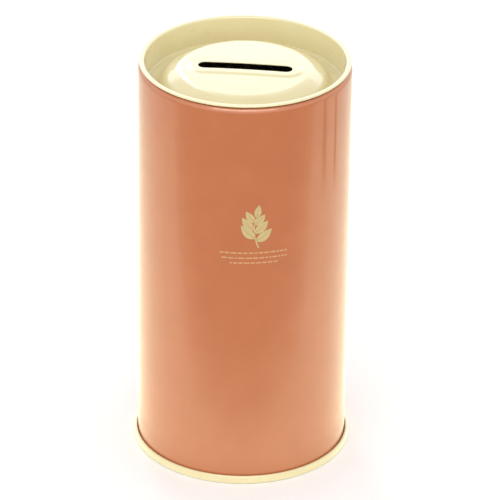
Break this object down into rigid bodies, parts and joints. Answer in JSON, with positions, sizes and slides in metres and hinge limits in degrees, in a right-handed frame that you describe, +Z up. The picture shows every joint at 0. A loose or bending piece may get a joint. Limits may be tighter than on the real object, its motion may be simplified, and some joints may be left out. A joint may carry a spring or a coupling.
{
  "type": "tin money box",
  "caption": "Round tinplate money box with a seamed bottom and a recessed press-in lid that has a coin slot across its raised panel.",
  "frame": {"origin": "centre of the base, on the surface that the tin stands on", "axes": "+Z up along the tin's axis, +X along the coin slot; the decorated front faces -Y, turned 11.7 degrees towards +X, and the wall's lock seam is opposite it"},
  "size_m": [0.0774, 0.0774, 0.1494],
  "materials": {
    "coral_lacquer": "gloss printed lacquer on tinplate, gold-tinted bare lacquer inside",
    "cream_enamel": "gloss cream enamel on tinplate"
  },
  "bodies": {
    "can": {"body_shell": "coral_lacquer", "bottom_end": "cream_enamel"},
    "lid": {"lid": "cream_enamel"}
  },
  "joints": [
    {"name": "lid_lift", "type": "slide", "parent": "can", "child": "lid", "axis": [0, 0, 1], "range_m": [0, 0.04]}
  ]
}
